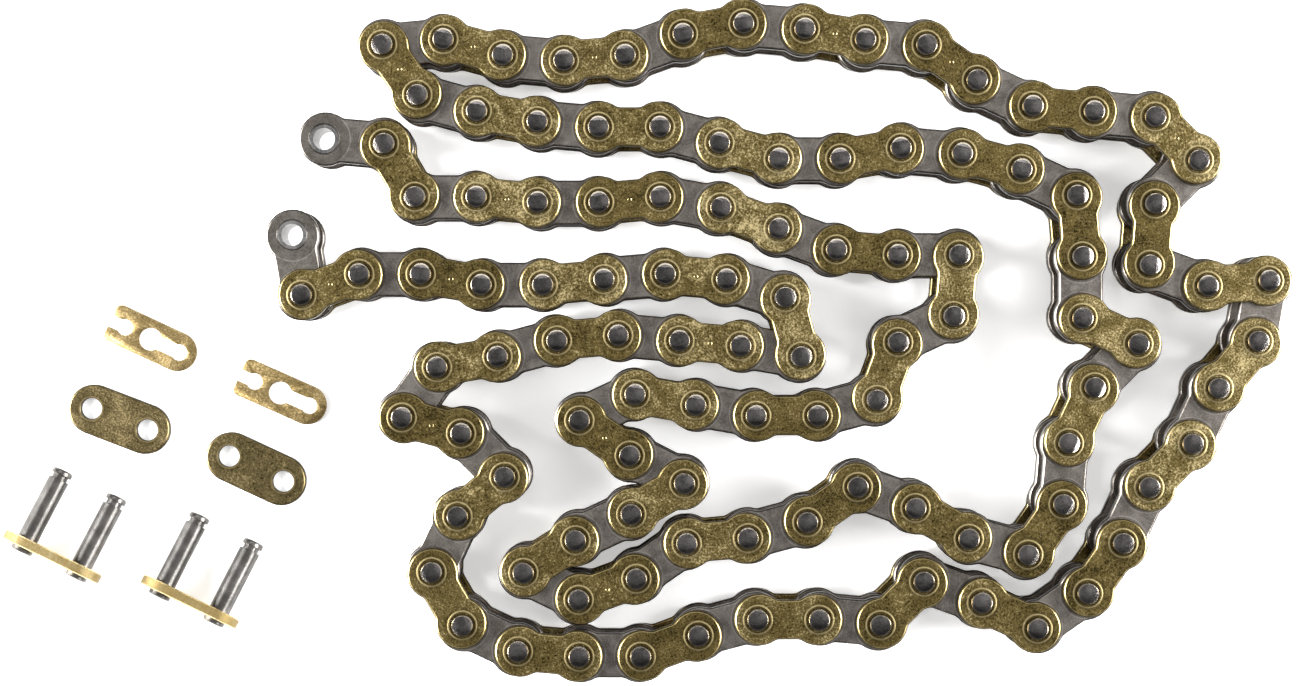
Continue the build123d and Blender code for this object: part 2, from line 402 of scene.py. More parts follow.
class Recipe:
    """One material's node tree, on its way to a finished metal."""

    def __init__(self, name: str) -> None:
        """Starts a material with an empty metal shader."""
        self.material = bpy.data.materials.new(name)
        self.material.use_nodes = True
        self.tree = self.material.node_tree
        self.shader = self.tree.nodes["Principled BSDF"]
        place = self.node("ShaderNodeAttribute", {"attribute_name": "local"})
        chance = self.node("ShaderNodeAttribute", {"attribute_name": "chance"})
        self.chance = Sock(self.tree, chance.outputs["Fac"])
        self.place = place.outputs["Vector"]
        self.grain_place = self.vector("MULTIPLY_ADD", self.chance.output, (311.0, 173.0, 97.0), self.place)
        parts = self.node("ShaderNodeSeparateXYZ", {}, {"Vector": self.place})
        self.x, self.y, self.z = (Sock(self.tree, parts.outputs[axis]) for axis in "XYZ")

    def node(self, kind: str, settings: dict, sockets: dict | None = None) -> bpy.types.Node:
        """Adds a node, sets it and fills its inputs with values or links.

        Args:
            kind: The node's type.
            settings: Its own settings, set before its inputs.
            sockets: Its inputs, by name or number.

        Returns:
            The node.
        """
        node = self.tree.nodes.new(kind)
        for key, value in settings.items():
            setattr(node, key, value)
        for key, value in (sockets or {}).items():
            if isinstance(value, Sock):
                value = value.output
            if isinstance(value, bpy.types.NodeSocket):
                self.tree.links.new(value, node.inputs[key])
            else:
                node.inputs[key].default_value = value
        return node

    def vector(self, operation: str, *inputs: object) -> bpy.types.NodeSocket:
        """One Vector Math node."""
        node = self.node("ShaderNodeVectorMath", {"operation": operation}, dict(enumerate(inputs)))
        return node.outputs["Vector"]

    def noise(self, per_mm: float, detail: float = 3.0, stretch: Sequence[float] = (1, 1, 1), turn: float = 0.0,
              distortion: float = 0.0) -> Sock:
        """Cloudy noise over the piece's own millimetres.

        Args:
            per_mm: Waves in a millimetre.
            detail: Octaves.
            stretch: Scale along the piece's own axes, small along a streak.
            turn: Angle of the streaks about +Z, in degrees.
            distortion: How much the cloud swirls.

        Returns:
            The noise, from 0 to 1.
        """
        turned = self.node("ShaderNodeMapping", {}, {
            "Vector": self.grain_place, "Rotation": (0, 0, math.radians(turn)), "Scale": tuple(stretch),
        })
        cloud = self.node("ShaderNodeTexNoise", {}, {
            "Vector": turned.outputs["Vector"], "Scale": per_mm, "Detail": detail, "Distortion": distortion,
        })
        return Sock(self.tree, cloud.outputs["Fac"])

    def mix(self, share: Sock, low: Colour | bpy.types.NodeSocket, high: Colour | bpy.types.NodeSocket,
            blend: str = "MIX") -> bpy.types.NodeSocket:
        """Mixes two colours by a share."""
        node = self.node("ShaderNodeMix", {"data_type": "RGBA", "blend_type": blend})
        self.tree.links.new(share.output, node.inputs[0])
        for number, colour in ((6, low), (7, high)):
            if isinstance(colour, bpy.types.NodeSocket):
                self.tree.links.new(colour, node.inputs[number])
            else:
                node.inputs[number].default_value = (*colour, 1.0)
        return node.outputs[2]

    def from_pin(self, pin_x: float) -> Sock:
        """Distance from the nearer of two pins standing at x = +-pin_x, in millimetres."""
        beside = self.x.size() - pin_x
        return (beside * beside + self.y * self.y) ** 0.5

    def below_face(self, thickness: float) -> Sock:
        """Depth below the nearer of a plate's two faces, in millimetres."""
        return thickness / 2 - (self.z - thickness / 2).size()

    def finish(self, colour: bpy.types.NodeSocket, roughness: Sock, height: Sock | None = None,
               relief: float = 0.02) -> bpy.types.Material:
        """Links the colour, roughness and relief to the shader.

        Args:
            colour: Base colour.
            roughness: Roughness.
            height: Relief, from 0 to 1.
            relief: Depth of the relief, in millimetres.

        Returns:
            The finished material.
        """
        self.shader.inputs["Metallic"].default_value = 1.0
        self.tree.links.new(colour, self.shader.inputs["Base Color"])
        self.tree.links.new(roughness.output, self.shader.inputs["Roughness"])
        if height is not None:
            bump = self.node("ShaderNodeBump", {}, {"Height": height, "Distance": relief * MM, "Strength": 1.0})
            self.tree.links.new(bump.outputs["Normal"], self.shader.inputs["Normal"])
        return self.material


@dataclass(frozen=True)
class GoldPlating:
    """Gold-coloured plating on a stamped plate: mottled, speckled and finely scratched, with painted glints, worn
    rims carrying a painted highlight, a painted highlight on its coined rings and painted shade at its holes, walls
    and recesses.
    """

    name: str
    dark: Colour
    middle: Colour
    light: Colour
    pin_x: float = 6.35
    pin_ring: float = 2.95
    speckle: float = 0.7
    shear_marks: float = 0.0
    thickness: float = 2.0
    wall_shade: float = 0.8
    rim_highlight_and_wear: float = 0.5
    hole_shadow_radius: float = 2.26
    hole_shadow_width: float = 0.14
    rim_band: tuple[float, float] = (0.08, 0.07)
    wall_starts: float = 0.14
    wall_ends: float = 0.2

    def make(self) -> bpy.types.Material:
        """Builds the material."""
        recipe = Recipe(self.name)
        cloud = recipe.noise(0.2, 5.0, distortion=0.8)
        speck = recipe.noise(2.6, 4.0)
        fine = recipe.noise(7.0, 2.0)
        streaks = recipe.noise(1.4, 3.0, stretch=(0.3, 5.0, 1.0), turn=31)
        cross_streaks = recipe.noise(1.4, 3.0, stretch=(5.0, 0.3, 1.0), turn=12)
        tone = cloud * 0.45 + speck * 0.7 + fine * 0.35 + recipe.chance * 0.16
        colour = recipe.mix(tone.ramp(0.58, 0.86), self.dark, self.middle)
        colour = recipe.mix(tone.ramp(0.86, 1.08), colour, self.light)
        pits = speck.ramp(0.42, 0.33) * cloud.ramp(0.66, 0.4) * self.speckle
        colour = recipe.mix(pits, colour, tuple(0.3 * part for part in self.dark))
        scratches = streaks.ramp(0.62, 0.7) * 0.6 + cross_streaks.ramp(0.63, 0.71) * 0.5
        scratches = scratches * fine.ramp(0.4, 0.6)
        colour = recipe.mix(scratches, colour, self.light)
        glints = fine.ramp(0.66, 0.76) * speck.ramp(0.45, 0.6)
        colour = recipe.mix(glints * 0.8, colour, self.light)
        distance = recipe.from_pin(self.pin_x)
        # Darker towards each pin, from 1.2 mm outside the coined ring inwards.
        darker_near_pin = distance.ramp(self.pin_ring + 1.2, self.pin_ring + 0.2) * 0.4
        colour = recipe.mix(darker_near_pin, colour, self.dark)
        # Painted highlight: a lighter band on the coined ring round each pin.
        coined_ring_highlight = distance.band(self.pin_ring, 0.3)
        colour = recipe.mix(coined_ring_highlight * 0.5, colour, self.light)
        # Painted shadow: a dark line round the edge of each hole, in the gap at the pin.
        hole_edge = distance.ramp(self.hole_shadow_radius + self.hole_shadow_width, self.hole_shadow_radius)
        colour = recipe.mix(hole_edge * 0.9, colour, tuple(0.25 * part for part in self.dark))
        depth = recipe.below_face(self.thickness)
        # Worn rims with a painted highlight: the first slope of each rim is lightened.
        rim = depth.band(*self.rim_band)
        colour = recipe.mix(rim * self.rim_highlight_and_wear, colour, self.light)
        # Painted shade: walls, the second rim slope, countersinks, hole sides and engraved marks darken with depth
        # below the nearer face.
        wall = depth.ramp(self.wall_starts, self.wall_ends) * self.wall_shade
        colour = recipe.mix(wall, colour, tuple(0.22 * part for part in self.middle))
        if self.shear_marks:
            marks = recipe.noise(1.6, 3.0, stretch=(3.0, 3.0, 0.12))
            colour = recipe.mix(marks.ramp(0.48, 0.66) * self.shear_marks, colour, self.dark)
        roughness = 0.26 + 0.16 * speck + 0.1 * cloud + 0.2 * wall - 0.06 * rim
        height = speck * 0.4 + fine * 0.2 + cloud * 0.2 + (1 - scratches) * 0.2
        return recipe.finish(colour, roughness, height, relief=0.04)


@dataclass(frozen=True)
class GreySteel:
    """Heat-treated steel, satin to dark, with the arcs that a neighbouring plate rubs into it."""

    name: str
    dark: Colour
    light: Colour
    roughness: float
    rub_radius: float = 0.0
    streak: Sequence[float] = (1.0, 1.0, 1.0)
    pin_x: float = 6.35
    relief: float = 0.02
    thickness: float = 0.0
    highlight_and_wear_from: float = 0.0
    ring_highlight_and_wear: Colour = (0.34, 0.30, 0.24)
    highlight_and_wear_step: tuple[float, float] = (0.05, 0.1)

    def make(self) -> bpy.types.Material:
        """Builds the material."""
        recipe = Recipe(self.name)
        cloud = recipe.noise(0.35, 3.0, distortion=0.3)
        grain = recipe.noise(3.0, 3.0, stretch=self.streak)
        tone = cloud.ramp(0.25, 0.75) * 0.5 + grain.ramp(0.3, 0.7) * 0.3 + recipe.chance * 0.2
        colour = recipe.mix(tone.ramp(0.05, 0.95), self.dark, self.light)
        roughness = self.roughness + (grain - 0.5) * 0.14
        if self.rub_radius:
            distance = recipe.from_pin(self.pin_x)
            rubbed = distance.band(self.rub_radius, 0.18) * cloud.ramp(0.3, 0.55)
            # Darker inside the rubbed arc, towards the pin.
            darker_inside_rub = distance.ramp(self.rub_radius + 0.1, self.rub_radius - 0.4)
            colour = recipe.mix(darker_inside_rub * 0.35, colour, tuple(0.55 * part for part in self.dark))
            colour = recipe.mix(rubbed * 0.5, colour, tuple(min(1.0, 1.9 * part) for part in self.light))
        # Lighter beyond a distance from the axis: wear with a painted highlight on the rim of a pin's end.
        if self.highlight_and_wear_from:
            before, after = self.highlight_and_wear_step
            ring_highlight_and_wear = recipe.from_pin(0.0).ramp(self.highlight_and_wear_from - before, self.highlight_and_wear_from + after)
            colour = recipe.mix(ring_highlight_and_wear * 0.9, colour, self.ring_highlight_and_wear)
        if self.thickness:
            depth = recipe.below_face(self.thickness)
            # Worn edges with a painted highlight: the first slope of each rim is lightened, patchy with the grain.
            edge_highlight_and_wear = depth.band(0.04, 0.05) * grain.ramp(0.4, 0.6)
            colour = recipe.mix(edge_highlight_and_wear * 0.4, colour, tuple(min(1.0, 1.7 * part) for part in self.light))
            # Painted shade: walls and hole sides darken with depth below the nearer face.
            wall = depth.ramp(0.05, 0.2) * 0.88
            colour = recipe.mix(wall, colour, tuple(0.25 * part for part in self.dark))
        return recipe.finish(colour, roughness, grain, relief=self.relief)


@dataclass(frozen=True)
class Finishes:
    """Every finish of the chain, made once."""

    outer_plates: bpy.types.Material
    inner_plates: bpy.types.Material
    pins: bpy.types.Material
    bushes: bpy.types.Material
    rollers: bpy.types.Material
    connecting_plates: bpy.types.Material
    connecting_pins: bpy.types.Material
    cover_plates: bpy.types.Material
    spring_clips: bpy.types.Material

    @staticmethod
    def mixed() -> Finishes:
        """Makes the materials."""
        return Finishes(
            outer_plates=GoldPlating("aged_gold_plating", (0.036, 0.027, 0.009), (0.158, 0.117, 0.040),
                                     (0.66, 0.54, 0.28), rim_highlight_and_wear=0.7).make(),
            inner_plates=GreySteel("gunmetal", (0.13, 0.115, 0.10), (0.29, 0.265, 0.24), 0.36,
                                   rub_radius=5.45, thickness=2.0).make(),
            pins=GreySteel("dark_pin_steel", (0.06, 0.056, 0.055), (0.17, 0.16, 0.155), 0.22, relief=0.03,
                           highlight_and_wear_from=1.9).make(),
            bushes=GreySteel("bush_steel", (0.10, 0.10, 0.10), (0.30, 0.29, 0.28), 0.35).make(),
            rollers=GreySteel("oiled_roller_steel", (0.12, 0.09, 0.065), (0.26, 0.21, 0.16), 0.28).make(),
            connecting_plates=GoldPlating("bright_gold_plating", (0.24, 0.16, 0.05), (0.66, 0.50, 0.22),
                                          (1.0, 0.86, 0.52), speckle=0.3, shear_marks=0.85).make(),
            connecting_pins=GreySteel("ground_pin_steel", (0.085, 0.08, 0.075), (0.21, 0.20, 0.19), 0.3,
                                      streak=(1.0, 1.0, 6.0), relief=0.01).make(),
            cover_plates=GoldPlating("dark_gold_plating", (0.045, 0.035, 0.013), (0.125, 0.097, 0.043),
                                     (0.36, 0.28, 0.14), pin_ring=2.5, speckle=0.8).make(),
            spring_clips=GoldPlating("light_gold_plating", (0.12, 0.082, 0.028), (0.27, 0.195, 0.08),
                                     (0.58, 0.44, 0.22), pin_x=99.0, speckle=0.35, thickness=0.9,
                                     wall_shade=0.4).make(),
        )


# --- Where the links lie ----------------------------------------------------------------------


class Row(Enum):
    """The two kinds of link that take turns along the chain."""

    INNER = "inner_plate"
    OUTER = "outer_plate"


@dataclass
class Island:
    """One closed solid of a node, with the points of its surface, in metres."""

    points: np.ndarray

    @property
    def middle(self) -> Vector:
        """The middle of its box."""
        return Vector((self.points.min(0) + self.points.max(0)) / 2)

    @property
    def bottom(self) -> float:
        """Height of its foot."""
        return float(self.points[:, 2].min())

    @property
    def top(self) -> float:
        """Height of its top."""
        return float(self.points[:, 2].max())

    def long_axis(self, flat: bool = True) -> Vector:
        """The direction in which it is longest, in the floor's plane or in space."""
        cloud = self.points - self.points.mean(0)
        if flat:
            cloud = cloud * (1, 1, 0)
        _, axes = np.linalg.eigh(cloud.T @ cloud)
        return Vector(axes[:, -1])

    def reach(self, direction: Vector) -> tuple[float, float]:
        """Its lowest and highest place along a direction."""
        along = self.points @ np.array(direction)
        return float(along.min()), float(along.max())

    def size_mm(self, direction: Vector) -> float:
        """Its size along a direction, in millimetres."""
        low, high = self.reach(direction)
        return (high - low) / MM


def islands_of(node: bpy.types.Object) -> list[Island]:
    """The separate solids of a node, found by the points that its triangles share.

    Args:
        node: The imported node's object.

    Returns:
        One island for each solid.
    """
    mesh = node.data
    points = np.zeros(len(mesh.vertices) * 3, np.float32)
    mesh.vertices.foreach_get("co", points)
    points = points.reshape(-1, 3).astype(float)
    grid = np.round(points / (0.001 * MM)).astype(np.int64)
    _, same = np.unique(grid, axis=0, return_inverse=True)
    same = same.reshape(-1)
    corners = np.zeros(len(mesh.loops), np.int32)
    mesh.loops.foreach_get("vertex_index", corners)
    triangles = same[corners].reshape(-1, 3)
    label = np.arange(same.max() + 1)
    settled = False
    while not settled:
        before = label.copy()
        lowest = label[triangles].min(axis=1)
        for corner in range(3):
            np.minimum.at(label, triangles[:, corner], lowest)
        label = label[label]
        settled = np.array_equal(before, label)
    owner = label[same]
    return [Island(points[owner == number]) for number in np.unique(owner)]


@dataclass
class PlacedLink:
    """One link of the laid chain: its number from free end A, and its two holes on the floor's plane."""

    number: int
    start: Vector
    end: Vector

    @property
    def heading(self) -> float:
        """Its direction from +X, in radians."""
        along = self.end - self.start
        return math.atan2(along.y, along.x)

    @property
    def middle(self) -> Vector:
        """The point between its holes."""
        return (self.start + self.end) / 2


class Lay:
    """Where every piece of the chain lies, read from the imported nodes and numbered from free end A."""

    def __init__(self, nodes: dict[str, bpy.types.Object]) -> None:
        """Reads the islands of every node and walks along the links.

        Args:
            nodes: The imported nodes.
        """
        self.islands = {name: islands_of(node) for name, node in nodes.items()}
        self.holes = [island.middle.to_2d() for name in self.islands if "bushes" in name
                      for island in self.islands[name]]
        first_pins = self.islands["end_a_pins_1"]
        self.pitch = (first_pins[0].middle - first_pins[1].middle).length
        joined: dict[int, list[int]] = {}
        for name, islands in self.islands.items():
            if "upper" in name:
                for island in islands:
                    one, other = self.holes_under(island)
                    joined.setdefault(one, []).append(other)
                    joined.setdefault(other, []).append(one)
        free = [self.hole_at(island.middle) for island in self.islands["end_a_bushes_1"]]
        order = [next(hole for hole in free if len(joined[hole]) == 1)]
        onward = joined[order[0]]
        while onward:
            order.append(onward[0])
            onward = [hole for hole in joined[order[-1]] if hole != order[-2]]
        self.place_in_order = {hole: place for place, hole in enumerate(order)}
        spots = [self.holes[hole] for hole in order]
        self.links = [PlacedLink(number, *pair) for number, pair in enumerate(zip(spots, spots[1:]))]

    def hole_at(self, point: Vector) -> int:
        """The number of the hole nearest to a point."""
        spot = point.to_2d()
        return min(range(len(self.holes)), key=lambda number: (self.holes[number] - spot).length)

    def holes_under(self, plate: Island) -> tuple[int, int]:
        """The two holes of a plate."""
        reach = plate.long_axis() * self.pitch / 2
        return self.hole_at(plate.middle - reach), self.hole_at(plate.middle + reach)

    def link_of_plate(self, plate: Island) -> PlacedLink:
        """The link that a plate belongs to."""
        return self.links[min(self.place_in_order[hole] for hole in self.holes_under(plate))]

    def link_at(self, island: Island, row: Row) -> PlacedLink:
        """The inner or outer link whose pin, bush or roller this is."""
        place = self.place_in_order[self.hole_at(island.middle)]
        inner = row is Row.INNER
        return self.links[place if (place % 2 == 0) == inner else place - 1]


def stand(spot: Vector, height: float, heading: float, turned_over: bool = False) -> Matrix:
    """A place on the chain: over a spot, at a height, along a heading.

    Args:
        spot: Where, on the floor's plane, in metres.
        height: Height of the piece's own zero.
        heading: Direction of its own +X, in radians.
        turned_over: True if its own +Z points down.

    Returns:
        The place as a matrix.
    """
    place = Matrix.Translation((spot.x, spot.y, height)) @ Matrix.Rotation(heading, 4, "Z")
    return place @ Matrix.Rotation(math.pi, 4, "X") if turned_over else place


# --- The shapes of the pieces, each in its own millimetres --------------------------------------


@dataclass
class LozengeMark:
    """A plain lozenge with a dot, sunk between the holes of some outer plates."""

    half_length: float = 2.8
    half_width: float = 2.3
    line: float = 0.42
    depth: float = 0.16
    dot_radius: float = 0.55

    def engrave(self, plate: bpy.types.Object, face: float) -> None:
        """Cuts the mark into a plate.

        Args:
            plate: The plate.
            face: Height of the face that is cut.
        """
        low, high = face - self.depth, face + 0.5
        groove = Bench.turned("lozenge", [
            (self.half_length - self.line, low), (self.half_length, low),
            (self.half_length + self.line, high), (self.half_length - 2 * self.line, high),
        ], 4, ring=True)
        Bench.pick(groove)
        bpy.ops.transform.resize(value=(1, self.half_width / self.half_length, 1))
        bpy.ops.object.transform_apply(location=True, rotation=True, scale=True)
        Bench.boolean(plate, groove, "DIFFERENCE")
        dot = Bench.disc("dot", self.dot_radius / 2, low, high, sides=16, top_radius=2 * self.dot_radius)
        Bench.boolean(plate, dot, "DIFFERENCE")


@dataclass
class PressedPlate:
    """A side plate lying on its inner face, z = 0: two round ends, two holes, sloped rims.

    A waist_share narrows its middle; without one its sides are straight all along.
    """

    name: str
    pitch: float
    length: float
    width: float
    thickness: float
    hole_radius: float
    waist_share: float | None = None
    waist_fillet: float = 2.0
    fillet_steps: int = 3
    rim: tuple[tuple[float, float], ...] = ((0.16, 0.14), (0.24, 0.15))
    sides: int = 36
    hole_edge: float = 0.12
    coined_ring: tuple[float, float] | None = None
    ring_rise: float = 0.08
    moat_depth: float = 0.16
    mark: LozengeMark | None = None

    def quarter(self) -> list[tuple[float, float]]:
        """The outline's quarter with x and y above zero, from the plate's end to its middle."""
        lobe = self.width / 2
        offset = self.length / 2 - lobe
        step = math.tau / self.sides
        if self.waist_share is None:
            turns = self.sides // 4
            return [(offset + lobe * math.cos(n * step), lobe * math.sin(n * step)) for n in range(turns + 1)]
        waist, fillet = lobe * self.waist_share, self.waist_fillet
        rise = waist + fillet
        run = math.sqrt((lobe + fillet)**2 - rise**2)
        join = math.pi - math.atan2(rise, run)
        turns = max(2, round(join / step))
        points = [(offset + lobe * math.cos(join * n / turns), lobe * math.sin(join * n / turns))
                  for n in range(turns + 1)]
        for n in range(1, self.fillet_steps + 1):
            angle = math.pi / 2 + (join - math.pi / 2) * (1 - n / self.fillet_steps)
            points.append((offset - run - fillet * math.cos(angle), rise - fillet * math.sin(angle)))
        return points

    def blank(self) -> bpy.types.Object:
        """The plate with its rims, without holes."""
        quarter = self.quarter()
        half = quarter + [(-x, y) for x, y in quarter[::-1]]
        outline = half + [(x, -y) for x, y in half[-2:0:-1]]
        foot = sum(rise for _, rise in self.rim)
        body = Bench.outlined(self.name, outline, foot, self.thickness - foot)
        Bench.slope_rims(body, self.rim)
        return body

    def model(self) -> Pattern:
        """The finished plate."""
        body = self.blank()
        for side in (-1, 1):
            x = side * self.pitch / 2
            if self.coined_ring:
                inner, outer = self.coined_ring
                slope = (outer - inner) / 3
                foot, crest = self.thickness - 0.2, self.thickness + self.ring_rise
                ring = Bench.turned(
                    "ring", [(inner - 0.3, foot), (outer, foot), (outer, self.thickness),
                             (outer - slope, crest), (inner - 0.3, crest)], 32, ring=True,
                )
                self.shift(ring, x)
                Bench.boolean(body, ring, "UNION")
                floor = self.thickness - self.moat_depth
                tool = Bench.turned(
                    "countersink", [(self.hole_radius, -1), (self.hole_radius, floor), (inner - slope, floor),
                                    (inner, crest), (inner + slope, crest + slope)], 32,
                )
            else:
                edge = self.hole_edge
                tool = Bench.turned(
                    "drill", [(self.hole_radius + 2 * edge, -edge), (self.hole_radius, edge),
                              (self.hole_radius, self.thickness - edge),
                              (self.hole_radius + 2 * edge, self.thickness + edge)], 32,
                )
            self.shift(tool, x)
            Bench.boolean(body, tool, "DIFFERENCE")
        if self.mark:
            self.mark.engrave(body, self.thickness)
        return Pattern(body)

    @staticmethod
    def shift(piece: bpy.types.Object, x: float) -> None:
        """Moves a tool along the plate."""
        Bench.pick(piece)
        bpy.ops.transform.translate(value=(x, 0, 0))
        bpy.ops.object.transform_apply(location=True, rotation=True, scale=True)


@dataclass
class RivetedPin:
    """A chain pin along its link's +X, centred on z = 0, whose ends the rivet has sloped on two sides."""

    radius: float
    length: float
    rim: float = 0.3
    flat_half_width: float = 1.2
    slope_degrees: float = 19.0
    sides: int = 32

    def model(self) -> Pattern:
        """The finished pin."""
        half = self.length / 2
        pin = Bench.turned("pin", [
            (self.radius - self.rim, -half), (self.radius - 0.4 * self.rim, -half + 0.25 * self.rim),
            (self.radius, -half + self.rim), (self.radius, half - self.rim),
            (self.radius - 0.4 * self.rim, half - 0.25 * self.rim), (self.radius - self.rim, half),
        ], self.sides)
        lean = math.radians(self.slope_degrees)
        for end in (-1, 1):
            for side in (-1, 1):
                point = Vector((0, side * self.flat_half_width, end * half))
                Bench.shave(pin, point, (0, side * math.sin(lean), end * math.cos(lean)))
        Bench.tidy(pin)
        return Pattern(pin)


@dataclass
class Barrel:
    """A bush or roller, centred on z = 0."""

    name: str
    radius: float
    bore_radius: float
    length: float
    rim: float
    sides: int = 28

    def model(self) -> Pattern:
        """The finished barrel."""
        half, rim = self.length / 2, self.rim
        return Pattern(Bench.turned(self.name, [
            (self.bore_radius, -half), (self.radius - rim, -half), (self.radius, -half + rim),
            (self.radius, half - rim), (self.radius - rim, half), (self.bore_radius, half),
        ], self.sides, ring=True))


@dataclass
class GroovedPin:
    """A connecting pin standing on +Z, its plate's inner face at z = 0, centred on one hole."""

    radius: float
    plate_thickness: float
    length: float
    rivet_radius: float
    rivet_height: float
    groove_radius: float
    groove_width: float
    tip_height: float
    tip_rim: float = 0.4
    foot_rim: float = 0.3
    groove_edge: float = 0.08
    sides: int = 64

    def model(self, x: float) -> bpy.types.Object:
        """The pin, over one of its plate's holes."""
        foot = -self.plate_thickness - self.rivet_height
        groove_top = self.length - self.tip_height
        groove_base = groove_top - self.groove_width
        edge = self.groove_edge
        pin = Bench.turned("grooved_pin", [
            (self.rivet_radius - 2 * self.foot_rim, foot), (self.rivet_radius - 0.5 * self.foot_rim, foot + 0.12),
            (self.rivet_radius, foot + self.foot_rim), (self.rivet_radius, -self.plate_thickness),
            (self.radius, -self.plate_thickness), (self.radius, groove_base - edge),
            (self.radius - edge, groove_base), (self.groove_radius, groove_base),
            (self.groove_radius, groove_top), (self.radius - edge, groove_top),
            (self.radius, groove_top + edge), (self.radius, self.length - self.tip_rim),
            (self.radius - 0.3 * self.tip_rim, self.length - 0.45 * self.tip_rim),
            (self.radius - self.tip_rim, self.length),
        ], self.sides)
        PressedPlate.shift(pin, x)
        return pin


@dataclass
class SpringClip:
    """The flat spring clip, its open slot's centre at the origin and its closed end towards +X."""

    pitch: float
    half_width: float
    open_end_reach: float
    closed_end_reach: float
    thickness: float
    slot_radius: float = 1.75
    mouth_half_width: float = 1.3
    keyhole_radius: float = 2.42
    keyhole_distance: float = 5.97
    neck_half_width: float = 1.45
    prong_round: float = 1.3
    edge: float = 0.1
    edge_degrees: float = 60.0

    def model(self) -> Pattern:
        """The finished clip."""
        low, high = -1.0, self.thickness + 1.0
        end_centre = self.pitch + self.closed_end_reach - self.half_width
        body = Bench.block("clip", (-self.open_end_reach, -self.half_width, 0),
                           (end_centre, self.half_width, self.thickness))
        Bench.pick(body)
        bpy.ops.object.mode_set(mode="EDIT")
        bpy.ops.mesh.select_mode(type="EDGE")
        bpy.ops.mesh.select_all(action="DESELECT")
        bpy.ops.object.mode_set(mode="OBJECT")
        for edge in body.data.edges:
            one, other = (body.data.vertices[number].co for number in edge.vertices)
            edge.select = max(one.x, other.x) < 0 and abs(one.z - other.z) > self.thickness / 2
        bpy.ops.object.mode_set(mode="EDIT")
        bpy.ops.mesh.bevel(offset=self.prong_round, segments=8)
        bpy.ops.mesh.select_mode(type="VERT")
        bpy.ops.object.mode_set(mode="OBJECT")
        end = Bench.disc("end", self.half_width, 0, self.thickness, x=end_centre, sides=72)
        Bench.boolean(body, end, "UNION")
        open_slot = Bench.disc("open_slot", self.slot_radius, low, high, sides=48)
        mouth = Bench.block("mouth", (-self.open_end_reach - 1, -self.mouth_half_width, low),
                            (self.slot_radius / 3, self.mouth_half_width, high))
        Bench.boolean(open_slot, mouth, "UNION")
        keyhole = Bench.disc("keyhole", self.keyhole_radius, low, high, x=self.keyhole_distance, sides=48)
        neck = Bench.block("neck", (self.keyhole_distance + 1, -self.neck_half_width, low),
                           (self.pitch - 1, self.neck_half_width, high))
        Bench.boolean(keyhole, neck, "UNION")
        closed_slot = Bench.disc("closed_slot", self.slot_radius, low, high, x=self.pitch, sides=48)
        Bench.boolean(keyhole, closed_slot, "UNION")
        for tool in (open_slot, keyhole):
            Bench.boolean(body, tool, "DIFFERENCE")
        Bench.pick(body)
        bpy.ops.object.mode_set(mode="EDIT")
        bpy.ops.mesh.select_all(action="SELECT")
        bpy.ops.mesh.remove_doubles(threshold=0.01)
        bpy.ops.mesh.dissolve_limited(angle_limit=math.radians(0.5))
        bpy.ops.object.mode_set(mode="OBJECT")
        Bench.bevel(body, self.edge, self.edge_degrees)
        return Pattern(body)


# --- The chain -----------------------------------------------------------------------------------


@dataclass
class Dresser:
    """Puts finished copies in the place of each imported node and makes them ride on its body."""

    frame: dict
    lay: Lay
    rng: random.Random = field(default_factory=lambda: random.Random(SEED))

    def body_of(self, node: str) -> str:
        """The body that a node belongs to."""
        groups = self.frame["record"]["behaviour"]["bodies"]
        return next(body for body, members in groups.items() if node in members)

    def dress(self, node: str, placed: Iterable[tuple[Pattern, Matrix]], finish: bpy.types.Material,
              slot: str) -> None:
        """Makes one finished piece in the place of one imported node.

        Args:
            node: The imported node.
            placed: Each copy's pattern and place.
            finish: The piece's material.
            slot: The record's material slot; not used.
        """
        copies = [pattern.copy_to(place, self.rng.random()) for pattern, place in placed]
        piece = assemble(f"finished_{node}", copies, finish)
        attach(piece, self.body_of(node))
        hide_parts(node)
        LOG.info("%s: %d solids, %d faces", piece.name, len(copies), len(piece.data.polygons))


